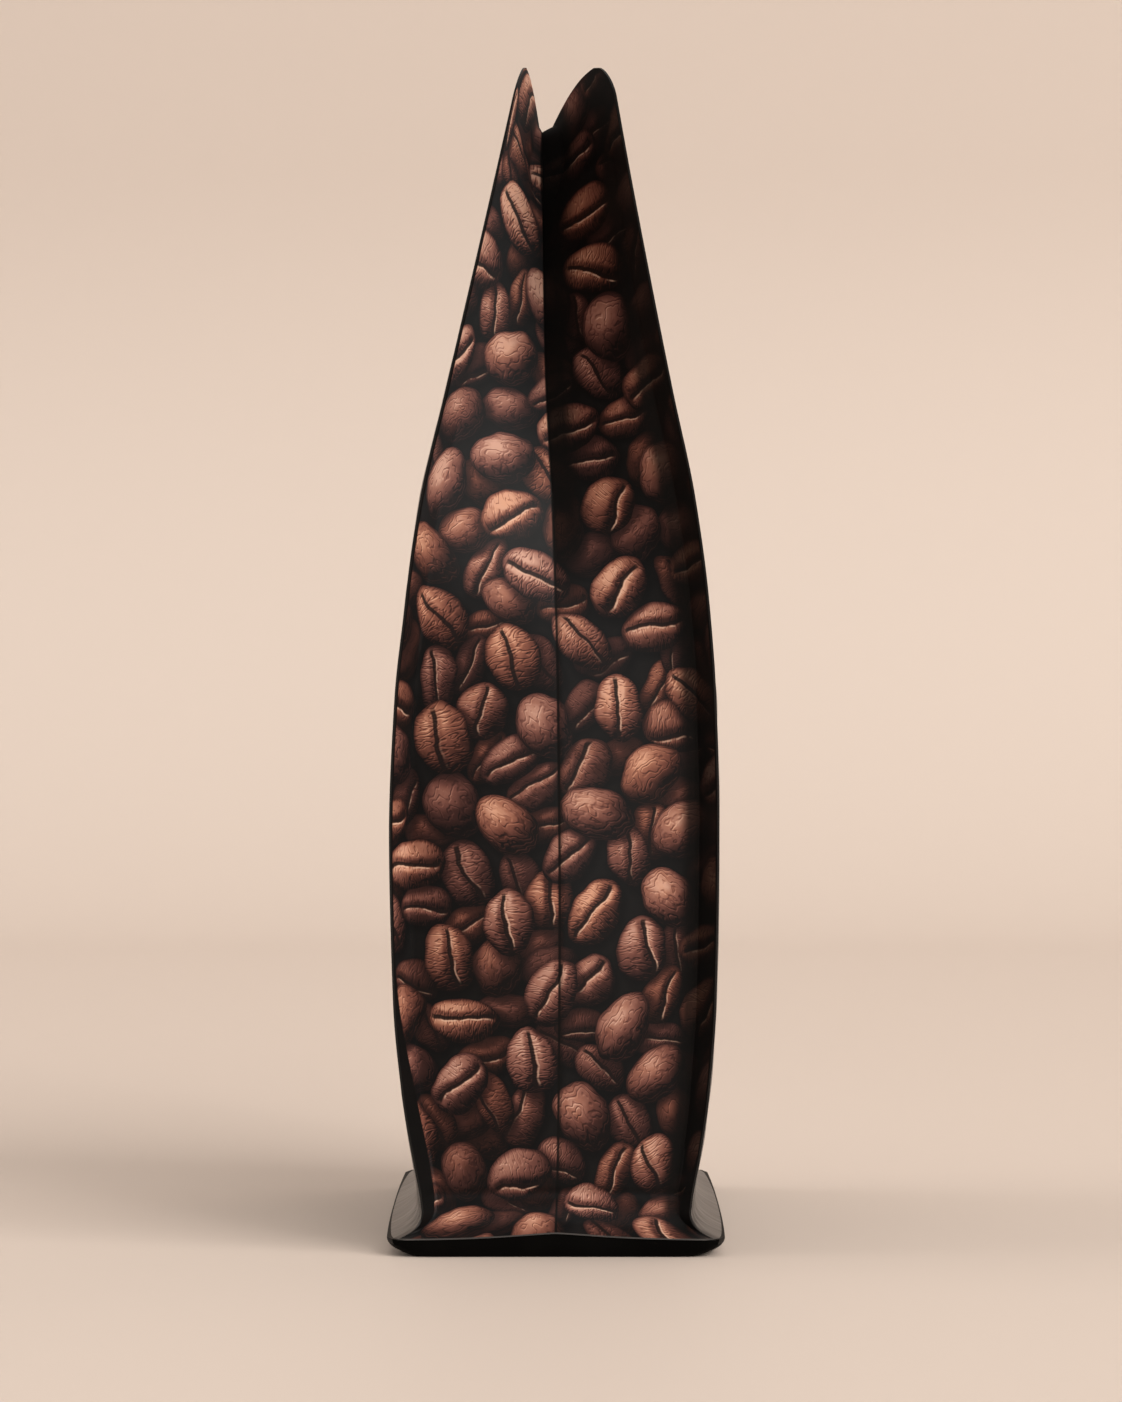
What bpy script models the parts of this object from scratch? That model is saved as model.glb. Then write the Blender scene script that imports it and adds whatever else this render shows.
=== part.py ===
import math

import bmesh
import bpy

# A shut coffee bag that stands on its flat base: a pouch with a folded gusset at each end.
# Metres, +Z up. The gussets face -Y and +Y, and the broad panels face -X and +X.
# Every profile below is a row of (height, value) stations, joined by a smooth curve.

HEIGHT = 0.210
HALF_DEPTH = 0.060
SEAL_THICKNESS = 0.0009

# The base: a rounded rim, the flange where bottom and sides are welded, and the flare above it.
RIM_HEIGHT = 0.0029
FLANGE_HEIGHT = 0.003
FLARE_TOP = 0.008
FLARE_POWER = 2.5
FLARE_AT_SEALS = 0.0054
FLARE_AT_PANELS = 0.0054

# Half width of the bag between the tips of its edge seals.
SEAL_HALF_WIDTH = (
    (FLARE_TOP, 0.0239),
    (0.011, 0.0243),
    (0.017, 0.0255),
    (0.028, 0.0271),
    (0.045, 0.0284),
    (0.075, 0.0289),
    (0.098, 0.0283),
    (0.116, 0.0269),
    (0.134, 0.0243),
    (0.152, 0.0203),
    (0.187, 0.0128),
    (0.205, 0.0091),
    (HEIGHT, 0.0081),
)

# How much further out the seals of the left panel stand.
LEFT_SEAL_OUT = (
    (0.017, -0.0002),
    (0.028, 0.0001),
    (0.045, 0.00045),
    (0.075, 0.00065),
    (0.098, 0.0004),
    (0.116, -0.0001),
    (0.134, 0.0),
)

# Half width of the bag at the middle of its broad panels, which are pinched together at the top.
PANEL_HALF_WIDTH = (
    (FLARE_TOP, 0.0256),
    (0.017, 0.0264),
    (0.028, 0.0280),
    (0.045, 0.0291),
    (0.065, 0.0294),
    (0.080, 0.0294),
    (0.098, 0.0284),
    (0.116, 0.0268),
    (0.134, 0.0239),
    (0.152, 0.0188),
    (0.187, 0.0066),
    (0.198, 0.0030),
    (0.204, 0.0012),
    (HEIGHT, 0.0008),
)

# How far the tips of the edge seals stand from the middle of the bag.
SEAL_TIP_DEPTH = (
    (FLANGE_HEIGHT, HALF_DEPTH),
    (0.005, 0.0586),
    (0.009, 0.0580),
    (0.075, 0.0588),
    (0.150, 0.0596),
    (0.204, HALF_DEPTH),
)

# How deep the edge seals are, from their tips to the gusset's film.
SEAL_DEPTH = (
    (FLANGE_HEIGHT, 0.0),
    (0.006, 0.0022),
    (0.011, 0.0034),
    (0.022, 0.0044),
    (0.040, 0.0050),
    (HEIGHT, 0.0050),
)

# How far the gusset's crease lies behind the gusset's edges: the gusset folds in towards the top.
FOLD_DEPTH = (
    (FLANGE_HEIGHT, 0.0),
    (0.100, 0.0),
    (0.106, 0.0005),
    (0.114, 0.0026),
    (0.124, 0.0062),
    (0.134, 0.0096),
    (0.152, 0.0140),
    (0.187, 0.0190),
    (HEIGHT, 0.0200),
)

# How far the full lower half of the gusset swells out between its edges.
SWELL = (
    (FLANGE_HEIGHT, 0.0),
    (0.007, 0.0001),
    (0.014, 0.0009),
    (0.030, 0.0022),
    (0.060, 0.0028),
    (0.090, 0.0022),
    (0.108, 0.0008),
    (0.120, 0.0),
)
SWELL_ROUND = 0.7

# The crease runs a little to one side as it rises.
CREASE_X = (
    (FLANGE_HEIGHT, 0.0),
    (0.020, 0.0004),
    (0.060, 0.0007),
    (0.098, 0.0004),
    (0.130, -0.0005),
    (0.160, -0.0019),
    (0.185, -0.0023),
    (HEIGHT, -0.0025),
)

# The top of the bag leans a little to the other side.
LEAN = (
    (0.075, 0.0),
    (0.116, 0.0002),
    (0.152, 0.0006),
    (0.187, 0.0012),
    (HEIGHT, 0.0017),
)

# Width of the slanted strip between a seal's tip and the gusset's film.
STRIP_WIDTH = (
    (FLANGE_HEIGHT, 0.0014),
    (0.012, 0.0026),
    (0.040, 0.0032),
    (0.150, 0.0032),
    (HEIGHT, 0.0018),
)

# Seen from above, a broad panel is a round belly that turns higher up into two spread arms.
BELLY_CURVE = 2.5
ARMS_CURVE = 1.6
ARMS_FROM_DEPTH = 0.020
ARMS_FROM_HEIGHT = 0.140
ARMS_TO_HEIGHT = 0.204

CORNER_RADIUS = 0.006
TOP_DIP = 0.011
DIP_FROM = 0.120
DIP_INNER = 0.022
DIP_OUTER = 0.054

GUSSET_STEPS = 8
STRIP_STEPS = 2
MIDDLE_STEPS = 8
PANEL_INNER = 0.5
LEVELS = (
    0.0, 0.0004, 0.0012, 0.0021, RIM_HEIGHT, 0.0033, 0.0038, 0.0048, 0.0062, FLARE_TOP,
    0.011, 0.015, 0.020, 0.026, 0.033, 0.042, 0.052, 0.063, 0.074, 0.085, 0.096, 0.106,
    0.116, 0.126, 0.136, 0.146, 0.156, 0.166, 0.176, 0.186, 0.194, 0.200, 0.204,
    0.2065, 0.2085, 0.2095, HEIGHT,
)


def slope(profile, i):
    """The slope of a profile at station i, level where the profile turns back."""
    if i == 0 or i == len(profile) - 1:
        first = min(i, len(profile) - 2)
        (low, start), (high, end) = profile[first], profile[first + 1]
        return (end - start) / (high - low)
    (low, start), (here, value), (high, end) = profile[i - 1], profile[i], profile[i + 1]
    before = (value - start) / (here - low)
    after = (end - value) / (high - here)
    if before * after <= 0.0:
        return 0.0
    return 2.0 * before * after / (before + after)


def along(profile, height):
    """The value of a profile at a height, on a smooth curve through its stations."""
    if height <= profile[0][0]:
        return profile[0][1]
    if height >= profile[-1][0]:
        return profile[-1][1]
    i = 0
    while height > profile[i + 1][0]:
        i += 1
    (low, start), (high, end) = profile[i], profile[i + 1]
    span = high - low
    t = (height - low) / span
    rise = slope(profile, i) * span
    fall = slope(profile, i + 1) * span
    ease = t * t * (3.0 - 2.0 * t)
    return start + (end - start) * ease + rise * t * (1.0 - t) ** 2 - fall * t * t * (1.0 - t)


def smooth_step(low, high, value):
    t = min(max((value - low) / (high - low), 0.0), 1.0)
    return t * t * (3.0 - 2.0 * t)


def flare(height):
    """1 at the flange, falling to 0 at the top of the flare."""
    t = (FLARE_TOP - max(height, FLANGE_HEIGHT)) / (FLARE_TOP - FLANGE_HEIGHT)
    return max(t, 0.0) ** FLARE_POWER


def tip_depth(height):
    """Distance from the middle of the bag to the seal tips, cut round at the top corners."""
    over = (height - (HEIGHT - CORNER_RADIUS)) / CORNER_RADIUS
    if over <= 0.0:
        return along(SEAL_TIP_DEPTH, height)
    return HALF_DEPTH - CORNER_RADIUS * (1.0 - math.sqrt(max(1.0 - over * over, 0.0)))


def panel_x(height, side, depth):
    """Position across the bag of a broad panel, at a height and a distance from the middle."""
    middle = min(along(CREASE_X, height), 0.0)
    pinch = along(PANEL_HALF_WIDTH, height) + FLARE_AT_PANELS * flare(height)
    edge = along(SEAL_HALF_WIDTH, height) + FLARE_AT_SEALS * flare(height)
    if side < 0:
        edge += along(LEFT_SEAL_OUT, height)
    inner = middle + side * pinch
    outer = along(LEAN, height) + side * edge
    belly = (depth / HALF_DEPTH) ** BELLY_CURVE
    spread = max((depth - ARMS_FROM_DEPTH) / (HALF_DEPTH - ARMS_FROM_DEPTH), 0.0)
    arms = spread ** ARMS_CURVE
    pinched = smooth_step(ARMS_FROM_HEIGHT, ARMS_TO_HEIGHT, height)
    return inner + (outer - inner) * (belly + (arms - belly) * pinched)


def lowered(height, depth):
    """Height of a point once the top edge has sunk between the four corners."""
    ramp = max((height - DIP_FROM) / (HEIGHT - DIP_FROM), 0.0) ** 2
    return height - TOP_DIP * ramp * (1.0 - smooth_step(DIP_INNER, DIP_OUTER, depth))


def inset(height):
    """How far the rounded rim draws in below the flange."""
    if height >= RIM_HEIGHT:
        return 0.0
    t = 1.0 - height / RIM_HEIGHT
    return RIM_HEIGHT * (1.0 - math.sqrt(max(1.0 - t * t, 0.0)))


def placed(height, x, y):
    """A point of the ring at a height, drawn in where the ring belongs to the rim."""
    half_width = along(SEAL_HALF_WIDTH, height) + FLARE_AT_SEALS * flare(height)
    draw = inset(height)
    x *= 1.0 - draw / half_width
    y *= 1.0 - draw / HALF_DEPTH
    return x, y, lowered(height, abs(y))


def gusset_point(height, side, end, step):
    """A point of half a gusset: step 0 is the crease, the last step the seal's tip."""
    tip = tip_depth(height)
    tip_x = panel_x(height, side, tip) - side * SEAL_THICKNESS
    root = tip - along(SEAL_DEPTH, height)
    root_x = tip_x - side * along(STRIP_WIDTH, height)
    if step > GUSSET_STEPS:
        t = (step - GUSSET_STEPS) / STRIP_STEPS
        return placed(height, root_x + (tip_x - root_x) * t, end * (root + (tip - root) * t))
    t = step / GUSSET_STEPS
    fold = along(FOLD_DEPTH, height) * (1.0 - t)
    swell = along(SWELL, height) * (1.0 - t) * (1.0 + SWELL_ROUND * t)
    x = along(CREASE_X, height) + (root_x - along(CREASE_X, height)) * t
    return placed(height, x, end * (root - fold + swell))


def panel_point(height, side, reach):
    """A point of a broad panel: reach runs from -1 at one seal's tip to 1 at the other's."""
    settled = smooth_step(FLANGE_HEIGHT, FLARE_TOP, height)
    depth = reach * (tip_depth(height) - SEAL_THICKNESS * (1.0 - settled))
    return placed(height, panel_x(height, side, abs(depth)), depth)


def quarter_reaches():
    """Reaches of the panel points that face the points of half a gusset, from inner to tip."""
    steps = GUSSET_STEPS + STRIP_STEPS
    return [PANEL_INNER + (1.0 - PANEL_INNER) * step / steps for step in range(steps + 1)]


def middle_reaches():
    """Reaches of the panel points between the two quarters, both ends left out."""
    return [PANEL_INNER * (2.0 * i / MIDDLE_STEPS - 1.0) for i in range(1, MIDDLE_STEPS)]


def add_ring(mesh, height):
    """One level of the bag as lists of vertices: creases, gusset halves, quarters and middles."""
    ring = {}
    steps = range(1, GUSSET_STEPS + STRIP_STEPS + 1)
    for end in (-1, 1):
        ring["crease", end] = mesh.verts.new(gusset_point(height, 1, end, 0))
        for side in (-1, 1):
            gusset = [mesh.verts.new(gusset_point(height, side, end, step)) for step in steps]
            quarter = [mesh.verts.new(panel_point(height, side, end * r)) for r in quarter_reaches()]
            ring["gusset", side, end] = gusset
            ring["quarter", side, end] = quarter
    for side in (-1, 1):
        ring["middle", side] = [
            mesh.verts.new(panel_point(height, side, reach)) for reach in middle_reaches()
        ]
    return ring


def loop_of(ring):
    """The vertices of a level in order, anticlockwise seen from above."""
    return (
        [ring["crease", -1]]
        + ring["gusset", 1, -1]
        + ring["quarter", 1, -1][::-1]
        + ring["middle", 1]
        + ring["quarter", 1, 1]
        + ring["gusset", 1, 1][::-1]
        + [ring["crease", 1]]
        + ring["gusset", -1, 1]
        + ring["quarter", -1, 1][::-1]
        + ring["middle", -1][::-1]
        + ring["quarter", -1, -1]
        + ring["gusset", -1, -1][::-1]
    )


def add_walls(mesh, below, above):
    lower = loop_of(below)
    upper = loop_of(above)
    for i in range(len(lower)):
        j = (i + 1) % len(lower)
        mesh.faces.new((lower[i], lower[j], upper[j], upper[i]))


def add_strip(mesh, left, right):
    """Faces between two rows of vertices of the same length."""
    for i in range(len(left) - 1):
        mesh.faces.new((left[i], right[i], right[i + 1], left[i + 1]))


def add_top(mesh, ring):
    """The thin edge along the top: four lobes, and the pinched middle between the creases."""
    for end in (-1, 1):
        crease = ring["crease", end]
        for side in (-1, 1):
            gusset = [crease] + ring["gusset", side, end]
            add_strip(mesh, gusset, ring["quarter", side, end])
        mesh.faces.new((crease, ring["quarter", -1, end][0], ring["quarter", 1, end][0]))
    rows = [
        [ring["quarter", side, -1][0]] + ring["middle", side] + [ring["quarter", side, 1][0]]
        for side in (-1, 1)
    ]
    add_strip(mesh, rows[0], rows[1])


def build_pouch(collection):
    mesh = bmesh.new()
    rings = [add_ring(mesh, level) for level in LEVELS]
    for below, above in zip(rings, rings[1:]):
        add_walls(mesh, below, above)
    mesh.faces.new(loop_of(rings[0])[::-1])
    add_top(mesh, rings[-1])
    bmesh.ops.recalc_face_normals(mesh, faces=mesh.faces)
    data = bpy.data.meshes.new("pouch")
    mesh.to_mesh(data)
    mesh.free()
    data.shade_smooth()
    data.set_sharp_from_angle(angle=math.radians(40.0))
    pouch = bpy.data.objects.new("pouch", data)
    collection.objects.link(pouch)
    return pouch


def film_material():
    material = bpy.data.materials.new("printed_film")
    material.use_nodes = True
    shader = material.node_tree.nodes["Principled BSDF"]
    shader.inputs["Base Color"].default_value = (0.055, 0.036, 0.030, 1.0)
    shader.inputs["Roughness"].default_value = 0.32
    shader.inputs["Metallic"].default_value = 0.0
    return material


def main():
    for obj in list(bpy.data.objects):
        bpy.data.objects.remove(obj)
    collection = bpy.data.collections.new("coffee_bag")
    bpy.context.scene.collection.children.link(collection)
    pouch = build_pouch(collection)
    pouch.data.materials.append(film_material())


main()
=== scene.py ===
import math
import random

import bpy
import numpy as np
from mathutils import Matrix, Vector


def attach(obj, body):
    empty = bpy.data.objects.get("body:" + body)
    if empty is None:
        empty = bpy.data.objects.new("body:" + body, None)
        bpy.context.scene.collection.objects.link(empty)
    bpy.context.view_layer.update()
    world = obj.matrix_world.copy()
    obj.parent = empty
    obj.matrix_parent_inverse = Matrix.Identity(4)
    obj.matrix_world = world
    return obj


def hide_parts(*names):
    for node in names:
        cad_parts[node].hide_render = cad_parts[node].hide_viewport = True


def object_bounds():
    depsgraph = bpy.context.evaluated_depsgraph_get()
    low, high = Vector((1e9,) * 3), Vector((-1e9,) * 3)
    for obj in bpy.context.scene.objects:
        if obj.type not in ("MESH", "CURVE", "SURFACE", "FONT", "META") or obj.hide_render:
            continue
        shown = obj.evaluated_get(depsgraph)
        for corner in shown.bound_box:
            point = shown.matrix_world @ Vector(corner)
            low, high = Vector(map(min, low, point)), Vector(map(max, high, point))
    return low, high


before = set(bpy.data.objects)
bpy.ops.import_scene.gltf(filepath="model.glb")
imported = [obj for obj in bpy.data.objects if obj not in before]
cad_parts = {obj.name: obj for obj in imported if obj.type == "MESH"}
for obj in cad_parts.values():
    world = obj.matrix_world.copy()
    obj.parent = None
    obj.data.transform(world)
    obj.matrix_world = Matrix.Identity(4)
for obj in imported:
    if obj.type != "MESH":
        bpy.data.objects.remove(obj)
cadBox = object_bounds()
mm = 0.001


# the form of the bag, in millimetres: each profile is rows of (height, value)
bag = {
    "height": round(cadBox[1][2] / mm, 3),
    "halfDepth": round(cadBox[1][1] / mm, 3),
    # rows of points lie closer together at the base and round the top corners
    "rowShares": (0.0, 0.12, 0.9, 1.0),
    "rowHeights": (14.0, 198.0),
    "sealThick": 0.36,
    # the film flares out low down, on to the welded flange at this height
    "flange": 3.0,
    "flareTop": 8.0,
    "flarePower": 2.5,
    "flareAtSeals": 5.4,
    "flareAtPanels": 4.8,
    "flareFilm": 3.2,
    "flareFilmTop": 9.0,
    "rimCorner": 3.4,
    "sealHalfWidth": (
        (8, 23.9), (11, 24.3), (17, 25.5), (28, 27.1), (45, 28.4), (75, 28.9), (98, 28.3),
        (116, 26.9), (134, 24.3), (152, 20.3), (187, 12.8), (205, 9.1), (210, 8.1),
    ),
    "leftSealOut": (
        (17, -0.2), (28, 0.1), (45, 0.45), (75, 0.65), (98, 0.4), (116, -0.1), (134, 0.0),
    ),
    "sealTipDepth": ((3, 60.0), (5, 58.6), (9, 58.0), (75, 58.8), (150, 59.6), (204, 60.0)),
    "sealDepth": ((3, 0.0), (6, 2.2), (11, 3.4), (22, 4.4), (40, 5.0), (210, 5.0)),
    "lean": ((75, 0.0), (116, 0.2), (152, 0.6), (187, 1.2), (210, 1.7)),
    "creaseX": (
        (3, 0.0), (20, 0.4), (60, 0.7), (98, 0.4), (130, -0.5), (160, -1.9), (185, -2.3), (210, -2.5),
    ),
    # the broad panels: a round belly that turns higher up into two spread arms
    "panelHalfWidth": (
        (8, 25.6), (17, 26.4), (28, 28.0), (45, 29.1), (65, 29.4), (80, 29.4), (98, 28.4),
        (116, 26.8), (134, 23.9), (152, 18.8), (187, 6.6), (198, 2.6), (204, 0.7), (210, 0.3),
    ),
    "bellyCurve": 2.5,
    "armsCurve": 1.6,
    "armsFrom": 20.0,
    "pinched": (140.0, 204.0),
    # the top edge: round corners, and a dip between them
    "cornerRadius": 6.0,
    "topDip": 11.0,
    "dipFrom": 120.0,
    "dipAcross": (22.0, 57.0),
    "smoothBelow": 50,
}


def along(profile, height):  # a smooth curve through the stations, with no overshoot
    spots = np.array(profile, float)
    at, value = spots[:, 0], spots[:, 1]
    step = np.diff(at)
    rise = np.diff(value) / step
    slope = np.zeros(len(at))
    slope[0], slope[-1] = rise[0], rise[-1]
    both = rise[:-1] * rise[1:] > 0
    slope[1:-1][both] = 2 * rise[:-1][both] * rise[1:][both] / (rise[:-1][both] + rise[1:][both])
    height = np.clip(height, at[0], at[-1])
    i = np.clip(np.searchsorted(at, height, side="right") - 1, 0, len(at) - 2)
    t = (height - at[i]) / step[i]
    ease = t * t * (3 - 2 * t)
    lift = slope[i] * step[i] * t * (1 - t) ** 2 - slope[i + 1] * step[i] * t * t * (1 - t)
    return value[i] + (value[i + 1] - value[i]) * ease + lift


def smooth(low, high, value):  # eases from 0 at low to 1 at high, whichever is larger
    t = np.clip((value - low) / (high - low), 0, 1)
    return t * t * (3 - 2 * t)


def ripple(seed, wavelength, x, y, waves=14, spread=(0.7, 1.6)):  # soft uneven waves, mostly -1 to 1
    dice = random.Random(seed)
    total = np.zeros(np.broadcast(x, y).shape)
    for _ in range(waves):
        turn = dice.uniform(0, 2 * math.pi)
        length = wavelength * dice.uniform(*spread)
        start = dice.uniform(0, 2 * math.pi)
        total += np.cos(2 * math.pi * (x * math.cos(turn) + y * math.sin(turn)) / length + start)
    return total / math.sqrt(waves)


def heightsUp(v):
    return np.interp(v, bag["rowShares"], (bag["flange"], *bag["rowHeights"], bag["height"]))


def filmUp(h):  # how far up the film a height is: the flare takes more film than its height
    return h + bag["flareFilm"] * smooth(bag["flange"], bag["flareFilmTop"], h)


def flare(h):  # 1 at the flange, falling to 0 at the top of the flare
    t = (bag["flareTop"] - np.maximum(h, bag["flange"])) / (bag["flareTop"] - bag["flange"])
    return np.maximum(t, 0) ** bag["flarePower"]


def sealEdge(h):
    return along(bag["sealHalfWidth"], h) + bag["flareAtSeals"] * flare(h)


def tipDepth(h):  # the top corners are cut round
    over = np.clip((h - (bag["height"] - bag["cornerRadius"])) / bag["cornerRadius"], 0, 1)
    cut = bag["cornerRadius"] * (1 - np.sqrt(np.maximum(1 - over * over, 0)))
    return along(bag["sealTipDepth"], h) - cut


def panelX(side, h, depth):
    middle = np.minimum(along(bag["creaseX"], h), 0)
    inner = middle + side * (along(bag["panelHalfWidth"], h) + bag["flareAtPanels"] * flare(h))
    leftOut = np.where(side < 0, along(bag["leftSealOut"], h), 0)
    outer = along(bag["lean"], h) + side * (sealEdge(h) + leftOut)
    belly = (depth / bag["halfDepth"]) ** bag["bellyCurve"]
    spread = (depth - bag["armsFrom"]) / (bag["halfDepth"] - bag["armsFrom"])
    arms = np.clip(spread, 0, 1) ** bag["armsCurve"]
    return inner + (outer - inner) * (belly + (arms - belly) * smooth(*bag["pinched"], h))


def lowered(h, depth):  # the top edge sinks between the four corners
    ramp = np.maximum((h - bag["dipFrom"]) / (bag["height"] - bag["dipFrom"]), 0) ** 2
    return h - bag["topDip"] * ramp * (1 - smooth(*bag["dipAcross"], depth))


def roundOff(x, y, wide, deep, radius):  # draws the square corners of an outline in to round ones
    overX = np.maximum(np.abs(x) - wide + radius, 0)
    overY = np.maximum(np.abs(y) - deep + radius, 0)
    far = np.maximum(np.hypot(overX, overY), 1e-6)
    drawn = (radius > 0) * (1 - np.maximum(overX, overY) / far) * (far > 1e-5)
    return x - np.sign(x) * overX * drawn, y - np.sign(y) * overY * drawn


def roundRim(x, depth, h):  # seen from above, the welded rim has round corners
    radius = bag["rimCorner"] * smooth(bag["flareTop"], bag["flange"], h)
    return roundOff(x, depth, sealEdge(h), along(bag["sealTipDepth"], h), radius)


def selectOnly(piece):
    bpy.ops.object.select_all(action="DESELECT")
    piece.select_set(True)
    bpy.context.view_layer.objects.active = piece


def readPoints(piece):
    spots = np.zeros(len(piece.data.vertices) * 3, np.float32)
    piece.data.vertices.foreach_get("co", spots)
    return spots.reshape(-1, 3).astype(float)


def movePoints(piece, points):  # points are in millimetres
    piece.data.vertices.foreach_set("co", (points * mm).astype(np.float32).ravel())
    piece.data.update()


# each sheet of film is a grid whose points are laid over the form, and remember their place in the film
def addFilm(name, columns, rows, place):
    bpy.ops.object.select_all(action="DESELECT")
    bpy.ops.mesh.primitive_grid_add(
        x_subdivisions=columns, y_subdivisions=rows, size=1, location=(0, 0, 0)
    )
    piece = bpy.context.object
    piece.name = piece.data.name = name
    piece.data.uv_layers[0].name = "OFBake"
    spots = readPoints(piece)
    points, printed = place(spots[:, 0] + 0.5, spots[:, 1] + 0.5)
    movePoints(piece, points)
    made = piece.data.attributes.new("filmPlace", "FLOAT_VECTOR", "POINT")
    made.data.foreach_set("vector", printed.astype(np.float32).ravel())
    return piece


def faceOut(piece, outward):  # turns the sheet's faces to point away from the bag
    middle = piece.data.polygons[len(piece.data.polygons) // 2]
    if middle.normal.dot(Vector(outward)) < 0:
        selectOnly(piece)
        bpy.ops.object.mode_set(mode="EDIT")
        bpy.ops.mesh.select_all(action="SELECT")
        bpy.ops.mesh.flip_normals()
        bpy.ops.object.mode_set(mode="OBJECT")


def smoothShade(piece, degrees):
    selectOnly(piece)
    bpy.ops.object.shade_smooth_by_angle(angle=math.radians(degrees))


# the base: a shallow boat of film under the welded rim
base = {
    "size": (59.6, 120.2, 3.1),
    "cuts": 23,
    "sideTuck": 6.0,
    "endTuck": 1.2,
    "sideSwell": 0.6,
    "cornerRadius": 3.4,
    "rise": 1.2,
    "riseWidth": 12.0,
    "riseCurve": 1.4,
    "riseEnds": (50.0, 58.0),
    "smoothBelow": 40,
}


def baseRise(x):  # the rim lifts a little where the fold meets it
    return base["rise"] * np.exp(-np.abs(x / base["riseWidth"]) ** base["riseCurve"])


def makeBase():
    wide, deep, tall = base["size"]
    bpy.ops.object.select_all(action="DESELECT")
    bpy.ops.mesh.primitive_cube_add(size=1, location=(0, 0, 0))
    piece = bpy.context.object
    piece.name = piece.data.name = "baseFilm"
    bpy.ops.object.mode_set(mode="EDIT")
    bpy.ops.mesh.select_all(action="SELECT")
    bpy.ops.mesh.subdivide(number_cuts=base["cuts"])
    bpy.ops.object.mode_set(mode="OBJECT")
    u, v, w = (readPoints(piece) * 2).T
    tuck = 1 - np.sqrt(np.maximum(1 - ((1 - w) / 2) ** 2, 0))  # the sides turn under towards the floor
    swell = base["sideSwell"] * (1 - np.abs(v) ** bag["bellyCurve"])
    halfWide = wide / 2 - base["sideTuck"] * tuck + swell
    halfDeep = deep / 2 - base["endTuck"] * tuck
    x, y = roundOff(u * halfWide, v * halfDeep, halfWide, halfDeep, base["cornerRadius"])
    z = (w + 1) / 2 * (tall + baseRise(x) * smooth(*base["riseEnds"], np.abs(y)))
    movePoints(piece, np.stack((x, y, z), -1))
    smoothShade(piece, base["smoothBelow"])
    return piece


# the gussets: full low down, folded inwards higher up, and flat against the panels at the top
gusset = {
    "columns": 120,
    "rows": 290,
    "seeds": (3, 8),
    "foldDepth": (
        (3, 0.0), (100, 0.0), (106, 0.5), (114, 2.6), (124, 6.2), (134, 9.6), (152, 14.0),
        (187, 19.0), (210, 20.0),
    ),
    "bulge": (
        (3, 0.0), (7, 0.1), (14, 0.9), (30, 2.2), (60, 2.8), (90, 2.2), (108, 0.8), (120, 0.0),
    ),
    "bulgeRound": 0.7,
    # between a seal's tip and the gusset's film runs a slanted strip
    "stripShare": 0.17,
    "stripWidth": ((3, 1.4), (12, 2.6), (40, 3.2), (150, 3.2), (210, 1.8)),
    "flatFrom": (188.0, 206.0),
    "foldReach": 0.12,
    "halfWidth": 30.0,
    "dent": 0.22,
    "dentLength": 26.0,
    "dentPower": 4,
    "dentFrom": (3.0, 16.0),
    "dentTo": (190.0, 204.0),
    "weldHeight": 10.7,
    "weldDepth": 0.35,
    "weldWidth": 0.9,
    "creaseDepth": 0.06,
    "creaseWidth": 0.45,
    "creaseFrom": (4.0, 9.0),
    "creaseTo": (110.0, 130.0),
    "lip": 0.3,
    "lipTop": 3.4,
    "riseTop": 14.0,
    # how wide the printed film is on each side of the fold
    "filmLeft": ((105, 25.2), (150, 17.0), (187, 11.0), (210, 9.0)),
    "filmRight": ((105, 25.2), (150, 20.5), (187, 15.5), (210, 13.0)),
    "stripFilm": 5.6,
}


def gussetForm(side, t, strip, h):
    tip = tipDepth(h)
    tipX = panelX(side, h, tip) - side * bag["sealThick"]
    root = tip - along(bag["sealDepth"], h)
    rootX = tipX - side * along(gusset["stripWidth"], h)
    creaseX = along(bag["creaseX"], h)
    bulge = along(gusset["bulge"], h) * (1 - t) * (1 + gusset["bulgeRound"] * t)
    depth = root - along(gusset["foldDepth"], h) * (1 - t) + bulge
    x = creaseX + (rootX - creaseX) * t
    flat = panelX(side, h, depth) - side * bag["sealThick"]
    flat = creaseX + (flat - creaseX) * np.clip(t / gusset["foldReach"], 0, 1)
    x = x + (flat - x) * smooth(*gusset["flatFrom"], h)
    return x + (tipX - x) * strip, depth + (tip - depth) * strip


def gussetRelief(s, t, strip, h, seed):  # dents, the weld above the base, the crease and the lip
    across = s * gusset["halfWidth"]
    free = (1 - strip) * smooth(*gusset["dentFrom"], h) * (1 - smooth(*gusset["dentTo"], h))
    soft = gusset["dent"] * ripple(seed, gusset["dentLength"], across, h)
    soft = soft * (1 - t ** gusset["dentPower"]) * free
    fromWeld = (h - gusset["weldHeight"]) / gusset["weldWidth"]
    weld = gusset["weldDepth"] * np.exp(-(fromWeld ** 2)) * (1 - strip)
    line = gusset["creaseDepth"] * np.exp(-((across / gusset["creaseWidth"]) ** 2))
    line = line * smooth(*gusset["creaseFrom"], h) * (1 - smooth(*gusset["creaseTo"], h))
    lip = gusset["lip"] * (1 - smooth(bag["flange"], gusset["lipTop"], h))
    return soft - weld - line + lip


def gussetPrint(side, t, strip, h):  # across the film, up the film, and how far the film's edge is
    half = np.where(side < 0, along(gusset["filmLeft"], h), along(gusset["filmRight"], h))
    across = side * (t * half + strip * gusset["stripFilm"])
    edge = side * (half + gusset["stripFilm"]) - across
    return np.stack((across, filmUp(h), np.abs(edge)), -1)


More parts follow.
